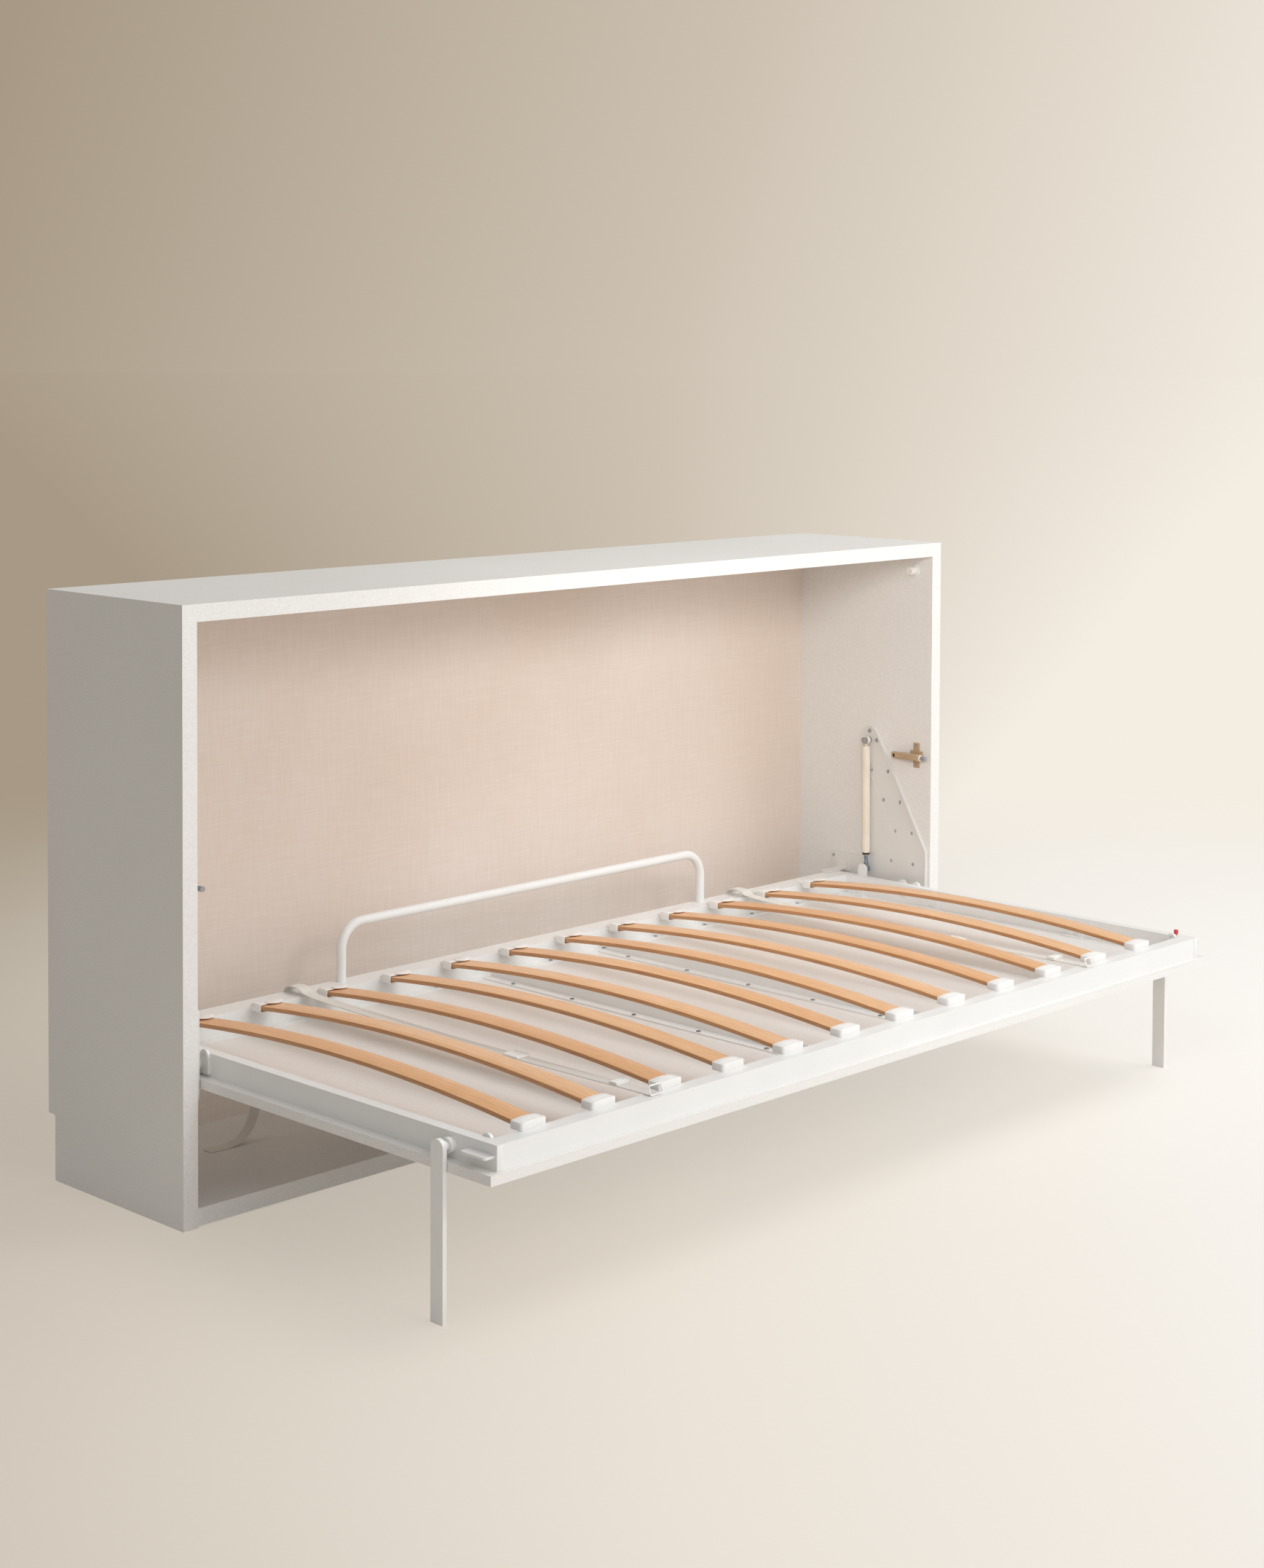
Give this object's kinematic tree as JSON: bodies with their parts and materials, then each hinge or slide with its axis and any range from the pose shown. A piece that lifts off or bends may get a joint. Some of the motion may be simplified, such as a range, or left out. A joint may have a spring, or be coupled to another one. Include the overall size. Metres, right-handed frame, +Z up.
{
  "type": "horizontal wall bed",
  "caption": "Horizontal folding wall bed in a low white cabinet, with a bowed slatted base in a steel frame, gas springs, drop legs, guard rail and mattress straps.",
  "frame": {"origin": "middle of the open bed's footprint, on the floor", "axes": "+X along the bed's length to its right end, +Y from the room to the wall, +Z up"},
  "size_m": [2.05, 1.114, 1.05],
  "materials": {
    "white_board": "white foil on chipboard",
    "back_board": "linen foil on hardboard",
    "raw_board": "plain chipboard",
    "dowel_wood": "plain",
    "hinge_white": "white powder coat",
    "plated_steel": "zinc plated",
    "damper_bronze": "satin",
    "stud_white": "satin",
    "frame_white": "white powder coat",
    "bush_dark": "plain",
    "holder_white": "satin",
    "beech": "clear lacquer",
    "webbing": "woven",
    "buckle_white": "satin",
    "leg_grey": "light powder coat",
    "cylinder_cream": "gloss",
    "rod_steel": "polished",
    "plunger_grey": "satin",
    "cap_red": "satin"
  },
  "bodies": {
    "cabinet": {"top_panel": "white_board", "left_side_panel": "white_board", "right_side_panel": "white_board", "back_panel": "back_board", "base_panel": "white_board", "wall_rail": "raw_board", "cabinet_dowels": "dowel_wood", "left_hinge_plate": "hinge_white", "right_hinge_plate": "hinge_white", "hinge_plate_screws": "plated_steel", "pivot_bolts": "plated_steel", "strut_top_bolts": "plated_steel", "left_damper_body": "damper_bronze", "right_damper_body": "damper_bronze", "bumper_studs": "stud_white", "down_stop_brackets": "hinge_white", "strap_tail": "webbing"},
    "bed": {"front_panel": "white_board", "front_rail": "frame_white", "rear_rail": "frame_white", "left_end_rail": "frame_white", "right_end_rail": "frame_white", "left_cross_bar": "frame_white", "right_cross_bar": "frame_white", "frame_screws": "plated_steel", "rail_tabs": "frame_white", "front_slat_holders": "holder_white", "rear_slat_holders": "holder_white", "guard_rail": "frame_white", "strut_lugs": "frame_white", "pivot_brackets": "frame_white", "pivot_bushes": "bush_dark", "latch_tongues": "frame_white", "leg_collars": "frame_white", "left_strap": "webbing", "right_strap": "webbing", "strap_hardware": "buckle_white", "slat_01": "beech", "slat_02": "beech", "slat_03": "beech", "slat_04": "beech", "slat_05": "beech", "slat_06": "beech", "slat_07": "beech", "slat_08": "beech", "slat_09": "beech", "slat_10": "beech", "slat_11": "beech", "slat_12": "beech"},
    "left_leg": {"left_leg": "leg_grey", "left_leg_pin": "leg_grey"},
    "right_leg": {"right_leg": "leg_grey", "right_leg_pin": "leg_grey"},
    "left_cylinder": {"left_cylinder": "cylinder_cream"},
    "left_rod": {"left_rod": "rod_steel"},
    "right_cylinder": {"right_cylinder": "cylinder_cream"},
    "right_rod": {"right_rod": "rod_steel"},
    "left_plunger": {"left_plunger": "plunger_grey"},
    "right_plunger": {"right_plunger": "plunger_grey"},
    "release_button": {"release_button": "cap_red"}
  },
  "joints": [
    {"name": "bed_fold", "type": "hinge", "parent": "cabinet", "child": "bed", "pos_m": [0, 0.191, 0.269], "axis": [-1, 0, 0], "range_deg": [0, 90], "deforming": ["strap_tail"]},
    {"name": "left_leg_fold", "type": "hinge", "parent": "bed", "child": "left_leg", "pos_m": [-0.99, -0.446, 0.269], "axis": [1, 0, 0], "range_deg": [0, 90]},
    {"name": "left_strut_swing", "type": "hinge", "parent": "cabinet", "child": "left_cylinder", "pos_m": [-0.98, 0.327, 0.594], "axis": [-1, 0, 0], "range_deg": [0, 12.3]},
    {"name": "left_rod_slide", "type": "slide", "parent": "left_cylinder", "child": "left_rod", "axis": [0, -0.0068, -1], "range_m": [0, 0.1785]},
    {"name": "left_plunger_push", "type": "slide", "parent": "cabinet", "child": "left_plunger", "axis": [0, 1, 0], "range_m": [0, 0.012]},
    {"name": "right_leg_fold", "type": "hinge", "parent": "bed", "child": "right_leg", "pos_m": [0.99, -0.446, 0.269], "axis": [1, 0, 0], "range_deg": [0, 90]},
    {"name": "right_strut_swing", "type": "hinge", "parent": "cabinet", "child": "right_cylinder", "pos_m": [0.98, 0.327, 0.594], "axis": [-1, 0, 0], "range_deg": [0, 12.3]},
    {"name": "right_rod_slide", "type": "slide", "parent": "right_cylinder", "child": "right_rod", "axis": [0, -0.0068, -1], "range_m": [0, 0.1785]},
    {"name": "right_plunger_push", "type": "slide", "parent": "cabinet", "child": "right_plunger", "axis": [0, 1, 0], "range_m": [0, 0.012]},
    {"name": "button_press", "type": "slide", "parent": "bed", "child": "release_button", "axis": [0, 0, -1], "range_m": [0, 0.002], "stiffness_N_per_m": 400}
  ],
  "couplings": [
    {"joint": "left_leg_fold", "follows": "bed_fold", "ratio": 1},
    {"joint": "left_strut_swing", "follows": "bed_fold", "ratio": 0.13618},
    {"joint": "left_rod_slide", "follows": "bed_fold", "m_per_rad": 0.11357},
    {"joint": "left_plunger_push", "follows": "bed_fold", "m_per_rad": 0.007639},
    {"joint": "right_leg_fold", "follows": "bed_fold", "ratio": 1},
    {"joint": "right_strut_swing", "follows": "bed_fold", "ratio": 0.13618},
    {"joint": "right_rod_slide", "follows": "bed_fold", "m_per_rad": 0.11357},
    {"joint": "right_plunger_push", "follows": "bed_fold", "m_per_rad": 0.007639}
  ]
}
